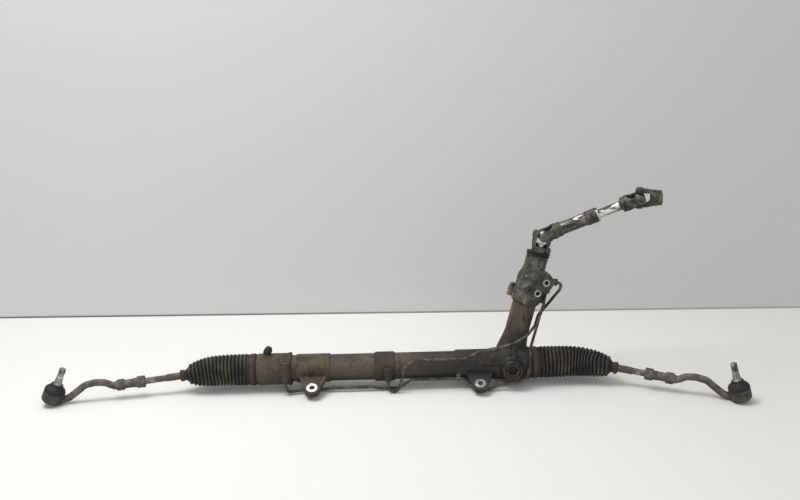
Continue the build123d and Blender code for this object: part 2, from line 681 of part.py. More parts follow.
def tie_rod_end(side):
    # Forged end: threaded sleeve, hexagon, goose-necked arm and ball cup.
    run = Rot(0, 90, 0)
    body = run * (rod(sleeve_radius_rod, hex_high, sleeve_reach) + hexagon(hex_across, hex_low, hex_high))
    body += run * turned((0, hex_low - 8), (arm_thickness / 2, hex_low - 8), (hex_across / 2 - 0.6, hex_low),
                         (0, hex_low))
    body += bent_rod([(x, y, 0) for x, y in arm_route], arm_thickness / 2, 18)
    body -= run * rod(thread_radius + seat_gap, thread_end - toe_range - 3, sleeve_reach + 1)
    body = side.arm * body
    cup = turned((0, cup_low), (cup_base_radius, cup_low), (cup_radius - 1.5, cup_low + 2), (cup_radius, cup_low + 5),
                 (cup_radius, cup_high - 7), (cup_radius - 2, cup_high - 5), (cup_radius - 2, cup_high - 1),
                 (cup_radius - 3, cup_high), (0, cup_high))
    body += side.cup * cup
    cavity = rod(outer_liner_radius + running_gap, cup_low + 3, cup_high - 3)
    cavity += turned((0, 0), (15.2, cup_high + 1), (0, cup_high + 1))
    cavity += rod(cup_base_radius - 2.5, cup_low + 1.5, 0)
    return body - side.cup * cavity


def outer_liner(side):
    low, high = cup_low + 3, cup_high - 3
    body = rod(outer_liner_radius, low + seat_gap, high - seat_gap) - Sphere(outer_ball + running_gap)
    body -= turned((0, 0), (cup_high * 1.3, cup_high), (0, cup_high))
    body -= rod(6, low - 1, 0)
    return side.cup * body


def ball_stud(side):
    # Ball, neck, taper with a groove, and thread with a socket in its end.
    body = turned((0, 0), (stud_neck, 0), (stud_neck, cup_high + 6), (stud_base + 0.8, cup_high + 9),
                  (stud_base + 0.8, cup_high + 12), (stud_base, cup_high + 13), (stud_radius, stud_length - 16),
                  (stud_radius - 0.8, stud_length - 15), (stud_radius - 0.8, stud_length - 1),
                  (stud_radius - 1.8, stud_length), (0, stud_length))
    body += Sphere(outer_ball)
    body -= Pos(0, 0, -outer_ball) * Box(30, 30, 7)
    body -= hexagon(5, stud_length - 6, stud_length + 1)
    return side.cup * body


def outer_boot(side):
    # Rubber boot from the cup's groove up to the stud.
    low, high = cup_high - 4.9, cup_high + 11
    seat, hole, wall = cup_radius - 2 + seat_gap, stud_base + 1.1, 1.4
    body = turned((seat, low), (seat + 2, low), (seat + 2, low + 3), (seat + 0.8, low + 6), (seat - 3, low + 10),
                  (hole + 2.5, high - 3), (hole + 2.5, high), (hole, high), (hole, high - 3.5),
                  (seat - 3 - wall, low + 10 - wall), (seat - 0.6, low + 5.4), (seat, low + 5))
    return side.cup * body


# ---------------------------------------------------------------- pinion and valve


def involute(angle):
    return tan(angle) - angle


def pinion_gear():
    pitch_radius = module * teeth / 2
    base_radius = pitch_radius * cos(pressure_angle)
    thickness = circular_pitch / 2 + 2 * profile_shift * tan(pressure_angle)
    start = max(base_radius, pinion_root_radius)
    flank = []
    for i in range(flank_points):
        radius = start + (pinion_tip_radius - start) * i / (flank_points - 1)
        roll = involute(pressure_angle) - involute(acos(base_radius / radius))
        half = thickness / (2 * pitch_radius) + roll
        flank.append((radius, half))
    outline = []
    root_half = flank[0][1]
    for tooth in range(teeth):
        middle = -pi / 2 + 2 * pi * tooth / teeth
        side = [(pinion_root_radius - 0.3, root_half), *flank]
        outline += [(r * cos(middle - a), r * sin(middle - a)) for r, a in side]
        outline += [(r * cos(middle + a), r * sin(middle + a)) for r, a in reversed(side)]
    gear = Pos(0, 0, -pinion_face / 2) * extrude(make_face(Polyline(*outline, close=True)), pinion_face)
    low, high = bearing_low_level + 1, sleeve_low + 6
    shaft = rod(pinion_root_radius - 0.2, low, high) + rod(pinion_shaft_radius - 1, low, -pinion_face / 2 - 1)
    shaft += rod(pinion_shaft_radius - running_gap, pinion_face / 2 + 1, high)
    shaft -= rod(torsion_radius + seat_gap, torsion_low, high + 1)
    return tower * (gear + shaft)


def valve_sleeve():
    # Ported sleeve with seal grooves; it turns with the pinion round the input shaft.
    body = tube(sleeve_radius, pinion_shaft_radius - running_gap, sleeve_low, sleeve_low + 6)
    body += tube(sleeve_radius, input_radius + running_gap, sleeve_low + 6, sleeve_high)
    for i in range(4):
        level = sleeve_low + 8 + i * 13
        body -= tube(sleeve_radius + 1, sleeve_radius - 1.2, level, level + 2.4)
    for i in range(3):
        level = sleeve_low + 16 + i * 13
        body -= [Pos(0, 0, level) * Rot(0, 90, angle) * Cylinder(2, 40, rotation=(0, 0, 0)) for angle in (0, 90)]
    return tower * body


def torsion_bar():
    high = sleeve_high - 6
    thin = turned((0, torsion_low), (torsion_radius, torsion_low), (torsion_radius, torsion_low + 14),
                  (torsion_radius - 1.4, torsion_low + 18), (torsion_radius - 1.4, high - 18),
                  (torsion_radius, high - 14), (torsion_radius, high), (0, high))
    return tower * thin


def throat():
    # The arched gap between a fork's ears.
    gap = Pos(0, 0, crotch / 2 - ear_round) * Box(2 * (yoke_half - ear_thick), 4 * yoke_half, crotch + 2 * ear_round)
    return fillet(gap.edges().filter_by(Axis.Y).group_by(Axis.Z)[-1], arch)


def fork(cross_gap):
    # Forged U-joint fork about Z with its pins along X: two ears that spread into the hub,
    # an arched throat between them, and bearing caps in the ears.
    outer, base = yoke_half, crotch + fork_base
    body = turned((0, -ear_round), (outer, -ear_round), (outer, shoulder), (fork_hub, base), (0, base))
    front = make_face(Polyline((ear_round, 0), (ear_round, shoulder), (fork_hub, base), (-fork_hub, base),
                               (-ear_round, shoulder), (-ear_round, 0), close=True)) + Circle(ear_round)
    body &= extrude(Plane.YZ * front, outer + 2, both=True)
    body -= throat()
    body += Rot(0, 90, 0) * rod(cap_radius, -outer - 1.5, outer + 1.5) - throat()
    return body - Rot(0, 90, 0) * rod(arm_radius + running_gap, -outer + 0.4 - cross_gap, outer - 0.4 + cross_gap)


def cross(frame):
    half = yoke_half - 0.5
    body = Rot(0, 90, 0) * rod(arm_radius, -half, half) + Rot(90, 0, 0) * rod(arm_radius, -half, half)
    return frame * (body + Sphere(yoke_half - ear_thick - 0.6))


def clamp_hub(length, bore):
    # Split hub with a lug for the pinch bolt, from Z = 0 up.
    body = rod(bore + 5.5, 0, length) + Pos(bore + 4, 0, length / 2) * Box(16, 18, length)
    body = fillet(body.edges().filter_by(Axis.Z), 2.5)
    body -= rod(bore, -1, length + 1)
    body -= Pos(bore + 8, 0, length / 2) * Box(20, 3, length + 2)
    return body - Pos(bore + 6, 0, length / 2) * Rot(90, 0, 0) * rod(pinch_radius, -20, 20)


def lower_yoke():
    hub_low = seal_top + hub_gap
    hub_length = joint_level - crotch - hub_low
    body = Pos(0, 0, joint_level) * Rot(180, 0, 0) * fork(0.1)
    body += Pos(0, 0, hub_low) * clamp_hub(hub_length, spline_radius)
    body -= rod(spline_radius, hub_low - 1, input_top + 0.5)
    return tower * body


def input_shaft():
    # Rotary valve spool below, splined end above.
    body = turned((0, sleeve_low + 7), (input_radius, sleeve_low + 7), (input_radius, seal_top + 0.5),
                  (spline_radius, seal_top + 1), (spline_radius, input_top), (0, input_top))
    for angle in range(0, 360, 60):
        slot = Rot(0, 0, angle) * Pos(input_radius, 0, sleeve_low + 30) * Box(1.6, 3, 34)
        body -= slot
    return tower * (body - rod(torsion_radius + seat_gap, sleeve_low + 6, sleeve_high - 5.9))


def shaft_sleeve():
    body = fork(0.1)
    low, band = crotch + fork_base - 1, sleeve_end - band_length
    body += turned((0, low), (shaft_band, low), (shaft_band, low + 11), (shaft_outer, low + 12),
                   (shaft_outer, band), (shaft_band, band + 1), (shaft_band, sleeve_end - 1),
                   (shaft_band - 1, sleeve_end), (0, sleeve_end))
    for angle in range(0, 360, 45):
        body -= Rot(0, 0, angle) * Pos(shaft_outer + 0.3, 0, low + 38) * Box(1.6, 3, 40)
    return shaft_frame * (body - spline_bar(running_gap, inner_start - slide_range - 2, sleeve_end + 1))


def spline_bar(gap, low, high):
    radius = inner_shaft_radius + gap
    return rod(radius, low, high) & Pos(0, 0, (low + high) / 2) * Box(4 * radius, 2 * (flat_half + gap), high - low)


def shaft_inner():
    low = shaft_length - crotch - fork_base
    body = spline_bar(0, inner_start, low + 1) + rod(inner_shaft_radius, sleeve_end + slide_range + 3, low + 1)
    block = extrude(RectangleRounded(2 * yoke_block, 2 * yoke_block, block_corner), 10)
    body += Pos(0, 0, low - 8) * block
    body += turned((0, low - 12), (inner_shaft_radius, low - 12), (yoke_block - 1, low - 7), (0, low - 7))
    body += Pos(0, 0, shaft_length) * Rot(180, 0, 0) * fork(0.1)
    return shaft_frame * body


def column_yoke():
    base = crotch + fork_base
    body = fork(0.1) + Pos(0, 0, base - 1) * Rot(0, 0, 90) * clamp_hub(column_hub, column_bore)
    block = extrude(RectangleRounded(2 * yoke_block + 2, 2 * yoke_block, block_corner), base - shoulder)
    body += Pos(0, 0, shoulder + 4) * block - throat()
    return column_frame * (body - rod(column_bore, base - 4, base + column_hub + 1))


# ---------------------------------------------------------------- assembly


def assembly():
    nodes = {
        "cylinder_tube": cylinder_tube(),
        "cylinder_end_housing": cylinder_end_housing(),
        "breather_nipple": breather_nipple(),
        "rack_bush": rack_bush(),
        "bulkhead_seal": bulkhead_seal(),
        "left_mount_bracket": left_mount_bracket(),
        "left_mount_bush": mount_bush(left_ear_x),
        "right_mount_bush": mount_bush(right_ear_x),
        "centre_port_collar": centre_port_collar(),
        "pinion_housing": pinion_housing(),
        "valve_housing": valve_housing(),
        "valve_bolts": valve_bolts(),
        "dust_seal": dust_seal(),
        "lower_bearing": pinion_bearing(bearing_low_level),
        "upper_bearing": pinion_bearing(bearing_level),
        "pinion_bottom_cap": pinion_bottom_cap(),
        "support_yoke": support_yoke(),
        "yoke_spring": yoke_spring(),
        "yoke_adjuster": yoke_adjuster(),
        "pipe_unions": pipe_unions(),
        "left_pipe": left_pipe(),
        "centre_pipe": centre_pipe(),
        "pipe_clip": pipe_clip(),
        "rack_bar": rack_bar(),
        "piston": piston(),
        "pinion_gear": pinion_gear(),
        "valve_sleeve": valve_sleeve(),
        "torsion_bar": torsion_bar(),
        "input_shaft": input_shaft(),
        "lower_yoke": lower_yoke(),
        "lower_cross": cross(lower_cross_frame),
        "shaft_sleeve": shaft_sleeve(),
        "shaft_inner": shaft_inner(),
        "upper_cross": cross(upper_cross_frame),
        "column_yoke": column_yoke(),
    }
    for side, face in zip(sides, (left_face, right_face)):
        pieces = {
            "bellows": bellows(side, face),
            "large_clamp": large_clamp(side.sign, face),
            "small_clamp": small_clamp(side),
            "inner_socket": inner_socket(side),
            "inner_liner": inner_liner(side),
            "inner_tie_rod": inner_tie_rod(side),
            "lock_nut": lock_nut(side),
            "tie_rod_end": tie_rod_end(side),
            "outer_liner": outer_liner(side),
            "outer_boot": outer_boot(side),
            "ball_stud": ball_stud(side),
        }
        nodes.update({f"{side.name}_{name}": shape for name, shape in pieces.items()})
    return nodes


os.makedirs("parts", exist_ok=True)
for name, shape in assembly().items():
    export_step(place * shape, f"parts/{name}.step")
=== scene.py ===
import math

import bpy
import numpy as np
from mathutils import Matrix


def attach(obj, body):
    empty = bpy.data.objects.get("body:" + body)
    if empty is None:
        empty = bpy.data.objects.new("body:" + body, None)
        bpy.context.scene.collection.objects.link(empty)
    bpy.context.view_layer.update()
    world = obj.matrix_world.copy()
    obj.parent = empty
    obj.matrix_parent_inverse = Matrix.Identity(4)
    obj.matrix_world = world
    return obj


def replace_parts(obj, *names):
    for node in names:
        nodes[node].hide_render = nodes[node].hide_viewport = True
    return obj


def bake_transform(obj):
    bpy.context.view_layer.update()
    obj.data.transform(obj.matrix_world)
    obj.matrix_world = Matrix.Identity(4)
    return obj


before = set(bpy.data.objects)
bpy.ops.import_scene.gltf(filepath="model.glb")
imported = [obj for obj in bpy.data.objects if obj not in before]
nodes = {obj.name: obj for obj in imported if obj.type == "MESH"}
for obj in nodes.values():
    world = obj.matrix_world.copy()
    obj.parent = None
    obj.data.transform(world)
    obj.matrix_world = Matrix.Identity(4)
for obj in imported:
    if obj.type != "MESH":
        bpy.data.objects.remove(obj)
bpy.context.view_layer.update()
mm = 0.001
rackOrigin = np.array([-2, 40, 39.3])  # the rack's axis in the frame, in mm


def unit(v):
    v = np.asarray(v, float)
    return v / np.linalg.norm(v, axis=-1, keepdims=True)


def tint(r, g, b):
    # Screen values 0-255 to the linear colour that a shader takes.
    c = np.array([r, g, b]) / 255
    c = np.where(c <= 0.04045, c / 12.92, ((c + 0.055) / 1.055) ** 2.4)
    return (*(float(x) for x in c), 1.0)


# ---- shader maths written as Python expressions

# Rays for each rounded edge, darkened corner and softened normal.
shadingSamples = {"edge": 6, "corner": 6, "soft": 4}


class Wire:
    # A socket of a material; adding, multiplying and so on adds Math nodes.
    def __init__(self, graph, socket):
        self.graph, self.socket = graph, socket

    def math(self, operation, *others):
        values = {0: self, **{i + 1: v for i, v in enumerate(others)}}
        return self.graph.node("ShaderNodeMath", {"operation": operation}, values)

    def __add__(self, other): return self.math("ADD", other)
    def __sub__(self, other): return self.math("SUBTRACT", other)
    def __mul__(self, other): return self.math("MULTIPLY", other)
    def __truediv__(self, other): return self.math("DIVIDE", other)
    def __pow__(self, other): return self.math("POWER", other)
    def __radd__(self, other): return self.math("ADD", other)
    def __rmul__(self, other): return self.math("MULTIPLY", other)
    def __rsub__(self, other): return self.math("MULTIPLY", -1.0).math("ADD", other)

    def between(self, low, high):
        # 0 below low, 1 above high, smooth between.
        return self.graph.node("ShaderNodeMapRange", {"interpolation_type": "SMOOTHSTEP", "clamp": True},
                               {"Value": self, "From Min": low, "From Max": high})


class Graph:
    # A material's node tree.
    def __init__(self, name):
        self.material = bpy.data.materials.new(name)
        self.material.use_nodes = True
        self.tree = self.material.node_tree
        self.tree.nodes.clear()
        self.place = self.node("ShaderNodeTexCoord", {}, {}, "Object")

    def node(self, kind, settings, values, output=0):
        n = self.tree.nodes.new(kind)
        for key, value in settings.items():
            if key == "stops":
                for i, (at, colour) in enumerate(value):
                    stop = n.color_ramp.elements[i] if i < 2 else n.color_ramp.elements.new(at)
                    stop.position, stop.color = at, colour
            else:
                setattr(n, key, value)
        for key, value in values.items():
            if isinstance(value, Wire):
                self.tree.links.new(value.socket, n.inputs[key])
            else:
                n.inputs[key].default_value = value
        return Wire(self, n.outputs[output])

    def noise(self, scale, detail=3.0, rough=0.55, stretch=(1, 1, 1), shift=0.0):
        at = self.node("ShaderNodeMapping", {}, {"Vector": self.place, "Scale": stretch,
                                                 "Location": (shift, 1.7 * shift, 0.6 * shift)})
        return self.node("ShaderNodeTexNoise", {}, {"Vector": at, "Scale": scale, "Detail": detail,
                                                    "Roughness": rough})

    def cells(self, scale, shift=0.0, feature="F1"):
        at = self.node("ShaderNodeMapping", {}, {"Vector": self.place, "Location": (shift, shift, 0)})
        return self.node("ShaderNodeTexVoronoi", {"feature": feature}, {"Vector": at, "Scale": scale})

    def mix(self, amount, first, second):
        return self.node("ShaderNodeMix", {"data_type": "RGBA"}, {0: amount, 6: first, 7: second}, 2)

    def axis(self, name):
        return self.node("ShaderNodeSeparateXYZ", {}, {0: self.place}, "XYZ".index(name))

    def dot(self, first, second):
        return self.node("ShaderNodeVectorMath", {"operation": "DOT_PRODUCT"}, {0: first, 1: second}, "Value")

    def facing(self, direction):
        # How far the surface faces a direction, -1 to 1.
        return self.dot(self.node("ShaderNodeNewGeometry", {}, {}, "Normal"), direction)

    def edges(self, radius):
        # 1 on sharp edges: there the rounded normal leaves the real one.
        soft = self.node("ShaderNodeBevel", {"samples": shadingSamples["edge"]}, {"Radius": radius})
        normal = self.node("ShaderNodeNewGeometry", {}, {}, "Normal")
        return (1 - self.dot(soft, normal)).between(0.02, 0.16)

    def corners(self, reach):
        # 1 deep in corners, where shade falls: the mask for painted shade.
        openness = self.node("ShaderNodeAmbientOcclusion", {"samples": shadingSamples["corner"]},
                             {"Distance": reach}, "AO")
        return (1 - openness).between(0.25, 0.8)

    def near(self, point, reach):
        # 1 at a point in the frame (mm), 0 at the reach (mm).
        to = self.node("ShaderNodeVectorMath", {"operation": "DISTANCE"},
                       {0: self.place, 1: tuple(x * mm for x in point)}, "Value")
        return 1 - to.between(reach * mm * 0.6, reach * mm)

    def finish(self, colour, rough, metal=0.0, bump=None, depth=0.4, size=0.001, spec=0.5, soft=0.0):
        # `size` is the relief's height and `soft` rounds the edges in the shading, both in metres.
        values = {"Base Color": colour, "Roughness": rough, "Metallic": metal, "Specular IOR Level": spec}
        if bump is not None:
            relief = {"Strength": depth, "Distance": size, "Height": bump}
            if soft:
                relief["Normal"] = self.node("ShaderNodeBevel", {"samples": shadingSamples["soft"]},
                                             {"Radius": soft})
            values["Normal"] = self.node("ShaderNodeBump", {}, relief)
        skin = self.node("ShaderNodeBsdfPrincipled", {}, values)
        out = self.tree.nodes.new("ShaderNodeOutputMaterial")
        self.tree.links.new(skin.socket, out.inputs[0])
        return self.material


# ---- finishes

castLooks = {
    "end": {"clean": tint(84, 74, 62), "dirt": tint(63, 53, 43), "dark": tint(32, 28, 24),
            "dust": tint(112, 99, 82), "bare": tint(136, 130, 118), "streaks": 0.55, "chips": 0.68,
            "oil": []},
    "collar": {"clean": tint(66, 57, 48), "dirt": tint(50, 41, 33), "dark": tint(26, 23, 20),
               "dust": tint(88, 78, 64), "bare": tint(120, 114, 102), "streaks": 0.6, "chips": 0.7,
               "oil": []},
    "gear": {"clean": tint(58, 53, 46), "dirt": tint(42, 37, 31), "dark": tint(17, 15, 14),
             "dust": tint(86, 78, 67), "bare": tint(128, 122, 112), "streaks": 0.8, "chips": 0.695,
             "oil": [((231, -6, 42), 48), ((262, 20, 62), 44), ((150, 2, 30), 40), ((240, 22, 80), 36),
                     ((190, -10, 24), 36)]},
    "valve": {"clean": tint(100, 98, 93), "dirt": tint(56, 53, 48), "dark": tint(19, 18, 16),
              "dust": tint(130, 127, 119), "bare": tint(205, 202, 192), "streaks": 0.75, "chips": 0.66,
              "oil": []},
}
# Scales of the noises in a casting's skin; corner and edge reach, relief and softening in metres.
castSkin = {"blotch": 26.0, "fine": 170, "grain": 420.0, "streak": 60, "rubbed": 48, "chip": 95,
            "corner": 0.014, "edge": 0.0012, "relief": 0.0014, "soft": 0.0016}


def dirtyCasting(name, looks, bareAt=(), litSide=None):
    # Sand-cast skin: blotches of brown dirt, pale dust in fine patches, oil round the points that the looks
    # name (point and reach in mm), painted shade on undersides and in corners, bare metal on edges
    # and round `bareAt`.
    g = Graph(name)
    blotch = g.noise(castSkin["blotch"], 5, 0.62)
    fine = g.noise(castSkin["fine"], 4, 0.6, shift=0.3)
    grain = g.noise(castSkin["grain"], 3, 0.7)
    streak = g.noise(castSkin["streak"], 4, 0.6, stretch=(1, 1, 0.25), shift=0.8)
    up = g.facing((0, 0, 1)).between(-0.9, 0.5)
    corner = g.corners(castSkin["corner"])
    edge = g.edges(castSkin["edge"])
    colour = g.mix(blotch.between(0.4, 0.6), looks["clean"], looks["dirt"])
    if litSide:
        # Painted light: above this height in metres, on faces turned left and to the front,
        # the skin is paler, in long rubbed streaks.
        rubbed = g.noise(castSkin["rubbed"], 4, 0.55, stretch=(1, 1, 0.16), shift=3.3)
        high = g.axis("Z").between(*litSide["from"]) * g.facing((-0.7, -0.7, 0)).between(-0.7, 0.5)
        colour = g.mix(high, colour, g.mix(rubbed.between(0.42, 0.6), litSide["clean"], litSide["rubbed"]))
    colour = g.mix(streak.between(0.5, 0.68) * looks["streaks"], colour, looks["dark"])
    colour = g.mix((fine * 0.6 + blotch * 0.4).between(0.555, 0.64) * 0.55, colour, looks["dust"])
    # Painted shade: darker on faces turned down.
    colour = g.mix((1 - up) * 0.6, colour, looks["dark"])
    oily = blotch * 0
    for point, reach in looks["oil"]:
        oily = oily.math("MAXIMUM", g.near(point, reach) * blotch.between(0.25, 0.5))
    colour = g.mix(oily * 0.8, colour, looks["dark"])
    # Painted shade in corners.
    colour = g.mix(corner * 0.85, colour, looks["dark"])
    chips = g.noise(castSkin["chip"], 6, 0.7, shift=2.1).between(looks["chips"], looks["chips"] + 0.03)
    bare = (edge * fine.between(0.42, 0.6)).math("MAXIMUM", chips * 0.6)
    for point, reach in bareAt:
        bare = bare.math("MAXIMUM", g.near(point, reach) * fine.between(0.25, 0.5))
    colour = g.mix(bare * 0.75, colour, looks["bare"])
    rough = 0.8 - bare * 0.3 + grain * 0.1 - oily * 0.4
    return g.finish(colour, rough, bare * 0.7, grain * 0.6 + fine * 0.8 + blotch, 0.55, castSkin["relief"],
                    soft=castSkin["soft"])


# Colours of the tube. In metres along X, `right` is where the oily stretch sets in, and `crustAt` where the
# crust starts and how far it takes to set in.
tubeLooks = {"paint": tint(76, 67, 56), "brown": tint(61, 51, 41), "dark": tint(28, 25, 22),
             "oil": tint(33, 30, 27), "crust": tint(124, 104, 80), "scab": tint(48, 37, 28),
             "scratch": tint(150, 142, 126), "right": (0.01, 0.09), "crustAt": (-0.13, 0.06)}


def dirtyTube(name, looks):
    # Drawn tube: thin brown paint, scabs of dried dirt with pale rims in the middle, oil towards +X.
    g = Graph(name)
    blotch = g.noise(22, 5, 0.6, stretch=(0.7, 1, 1))
    fine = g.noise(200, 4, 0.65, shift=0.7)
    scab = g.noise(52, 6, 0.68, shift=5.2)
    x = g.axis("X")
    crustStart, crustRun = looks["crustAt"]
    middle = x.between(crustStart, crustStart + crustRun) * (1 - x.between(*looks["right"]))
    up = g.facing((0, 0, 1)).between(-0.85, 0.35)
    colour = g.mix(blotch.between(0.42, 0.6), looks["paint"], looks["brown"])
    colour = g.mix(scab.between(0.52, 0.56) * middle * 0.7, colour, looks["scab"])
    rim = scab.between(0.5, 0.525) * (1 - scab.between(0.53, 0.555))
    flake = g.noise(120, 5, 0.7, shift=8.4).between(0.62, 0.66)
    crust = (rim * 0.5).math("MAXIMUM", flake) * middle * fine.between(0.4, 0.6)
    colour = g.mix(crust, colour, looks["crust"])
    colour = g.mix(x.between(*looks["right"]) * (0.55 + blotch * 0.6), colour, looks["oil"])
    # Painted shade: darker on faces turned down and in corners.
    colour = g.mix((1 - up) * 0.65, colour, looks["dark"])
    colour = g.mix(g.corners(0.01) * 0.85, colour, looks["dark"])
    scratch = g.noise(70, 3, 0.5, stretch=(1, 0.12, 0.12), shift=1.1).between(0.68, 0.7)
    scratch = scratch * fine.between(0.5, 0.6)
    colour = g.mix(scratch * 0.5, colour, looks["scratch"])
    rough = 0.62 + fine * 0.2 - blotch * 0.12
    return g.finish(colour, rough, 0.0, scab.between(0.5, 0.56) * middle * 2 + fine, 0.4, 0.0008)


# The colour of painted shade in the steel's corners and on its undersides.
steelShade = tint(22, 20, 18)


def turnedSteel(name, bright, dark, rust, rusty=0.3, rough=0.32, metal=0.9, fineness=1.0, shadeStrength=0.75):
    # Machined or drawn steel: fine marks, dulled in patches, brown where it is dirty, with painted shade
    # in corners and on faces turned down.
    g = Graph(name)
    wear = g.noise(75 * fineness, 5, 0.65)
    fine = g.noise(420 * fineness, 3, 0.6)
    marks = g.noise(900, 2, 0.5, stretch=(0.1, 1, 1))
    corner = g.corners(0.01)
    edge = g.edges(0.0009)
    under = 1 - g.facing((0, -0.3, 0.95)).between(-0.6, 0.3)
    colour = g.mix(wear.between(0.38, 0.58), bright, dark)
    spots = g.noise(150 * fineness, 5, 0.7, shift=4.0)
    stain = (wear * 0.5 + spots * 0.5).between(0.62 - 0.3 * rusty, 0.72 - 0.2 * rusty)
    colour = g.mix(stain, colour, rust)
    # Painted shade in corners and on faces turned away from the top and front.
    colour = g.mix((corner + under * 0.45).math("MINIMUM", 1.0) * shadeStrength, colour, steelShade)
    colour = g.mix(edge * fine.between(0.35, 0.6) * 0.6, colour, bright)
    rough = rough + stain * 0.4 + fine * 0.12
    return g.finish(colour, rough, (1 - stain) * metal, fine + marks * 0.5, 0.3, 0.0004, soft=0.0008)


def shaftSteel(name, looks):
    # One finish along the intermediate shaft: forged yokes, a scuffed sleeve with long polished streaks, a
    # greasy green-grey collar beside the lower yoke, and a bright sliding shaft. Distances in the looks run
    # from the lower joint along the shaft's line, in metres, each as where a stretch sets in and is full.
    g = Graph(name)
    along = g.dot(g.place, looks["line"]) - looks["start"]
    wear = g.noise(80, 5, 0.65)
    fine = g.noise(420, 3, 0.6)
    streak = g.noise(16, 4, 0.6, stretch=(0.35, 5, 3.5), shift=2.6)
    corner = g.corners(0.012)
    edge = g.edges(0.0009)
    forged = g.mix(wear.between(0.4, 0.6), looks["forged"], looks["forgedDark"])
    sleeve = g.mix(streak.between(0.46, 0.56), looks["sleeve"], looks["sleeveDark"])
    sleeve = g.mix(streak.between(0.6, 0.66), sleeve, looks["polished"])
    bright = g.mix(streak.between(0.44, 0.52), looks["polished"], looks["brightDark"])
    onSleeve = along.between(*looks["sleeveFrom"]) * (1 - along.between(*looks["sleeveTo"]))
    onCollar = along.between(*looks["collarFrom"]) * (1 - along.between(*looks["collarTo"]))
    onShaft = along.between(*looks["shaftFrom"]) * (1 - along.between(*looks["shaftTo"]))
    colour = g.mix(onSleeve, forged, sleeve)
    colour = g.mix(onCollar * 0.8, colour, looks["green"])
    colour = g.mix(onShaft, colour, bright)
    # Painted shade in corners and on faces turned away from the top and front.
    under = 1 - g.facing((0, -0.35, 0.94)).between(-0.5, 0.35)
    colour = g.mix((corner + under * 0.5).math("MINIMUM", 1.0) * 0.9, colour, looks["paintedShade"])
    colour = g.mix(edge * fine.between(0.35, 0.6) * 0.6, colour, looks["polished"])
    metal = 0.45 + onShaft * 0.45 + onSleeve * 0.3
    rough = 0.5 - onShaft * 0.28 - onSleeve * 0.14 + fine * 0.12
    return g.finish(colour, rough, metal, fine + wear, 0.3, 0.0005, soft=0.0012)


def rodEndSteel(name, looks):
    # Forged tie rod ends: grey-brown arms, and cups dark with road dirt up to `reach` mm from their centres.
    g = Graph(name)
    wear = g.noise(60, 5, 0.65)
    fine = g.noise(300, 3, 0.6)
    arm = g.mix(wear.between(0.4, 0.62), looks["arm"], looks["armDark"])
    cup = g.mix(wear.between(0.42, 0.6), looks["cup"], looks["cupDark"])
    atCup = g.near(looks["cups"][0], looks["reach"]).math("MAXIMUM", g.near(looks["cups"][1], looks["reach"]))
    colour = g.mix(atCup, arm, cup)
    # Painted shade in corners and on faces turned down.
    under = 1 - g.facing((0, 0, 1)).between(-0.7, 0.3)
    colour = g.mix((g.corners(0.01) + under * 0.4).math("MINIMUM", 1.0) * 0.75, colour, looks["paintedShade"])
    colour = g.mix(g.edges(0.001) * fine.between(0.35, 0.6) * 0.4, colour, looks["worn"])
    return g.finish(colour, 0.52 + wear * 0.2, (1 - atCup) * 0.35, fine + wear, 0.4, 0.0007, soft=0.0012)


# Painted shade for the creases between the bellows' folds.
creaseShade = tint(12, 11, 10)


def agedRubber(name, base, dusty, crest=False):
    # Matt black rubber with dust in patches. With `crest`, the piece's `fold` attribute, which is 1 on the
    # folds' crests and 0 between them, adds dust and a painted highlight towards the crests and painted shade
    # between them.
    g = Graph(name)
    patch = g.noise(34, 5, 0.6)
    fine = g.noise(300, 3, 0.6)
    dust = patch.between(0.48, 0.75) * 0.35
    if crest:
        fold = g.node("ShaderNodeAttribute", {"attribute_name": "fold"}, {}, "Fac")
        # Dust, rubbing and a painted highlight towards the crests.
        crestRubAndSheen = fold.between(0.72, 1.0) * fine.between(0.35, 0.6)
        dust = dust * (0.4 + fold * 0.6) + crestRubAndSheen * patch.between(0.35, 0.62) * 0.5
    else:
        dust = dust + g.edges(0.0015) * 0.3
    colour = g.mix(dust.math("MINIMUM", 1.0), base, dusty)
    if crest:
        # Painted shade in the creases between the folds.
        colour = g.mix((1 - fold.between(0.0, 0.5)) * 0.6, colour, creaseShade)
    return g.finish(colour, 0.55 + fine * 0.2, 0.0, fine, 0.35, 0.0005, spec=0.4)


def plainPlastic(name, base, shade):
    g = Graph(name)
    patch = g.noise(90, 4, 0.6)
    colour = g.mix(patch.between(0.4, 0.7), base, shade)
    return g.finish(colour, 0.45 + patch * 0.1, 0.0, g.noise(500, 2, 0.5), 0.15, 0.0003)


# Painted light on the upper pinion tower where it faces left and front: heights in metres and colours.
towerLitSide = {"from": (0.085, 0.125), "clean": tint(74, 67, 57), "rubbed": tint(108, 99, 84)}
# The darkest colour, laid in corners and on undersides, is painted shade.
shaftLooks = {"line": (0.92493, -0.06468, 0.37461), "start": 0.37535, "forged": tint(96, 93, 89),
              "forgedDark": tint(46, 44, 42), "sleeve": tint(120, 116, 110), "sleeveDark": tint(62, 58, 54),
              "polished": tint(222, 221, 217), "brightDark": tint(58, 55, 52), "green": tint(66, 68, 56),
              "paintedShade": tint(15, 14, 13), "sleeveFrom": (0.036, 0.038), "sleeveTo": (0.084, 0.087),
              "collarFrom": (0.025, 0.027), "collarTo": (0.037, 0.039), "shaftFrom": (0.108, 0.11),
              "shaftTo": (0.150, 0.155)}
# The darkest colour, laid in corners and on undersides, is painted shade.
rodEndLooks = {"arm": tint(112, 107, 102), "armDark": tint(78, 73, 67), "cup": tint(54, 50, 46),
               "cupDark": tint(32, 30, 28), "paintedShade": tint(16, 15, 14), "worn": tint(150, 146, 140),
               "reach": 27, "cups": [(-643.35, -10.0, 20.36), (640.47, -71.0, 18.83)]}

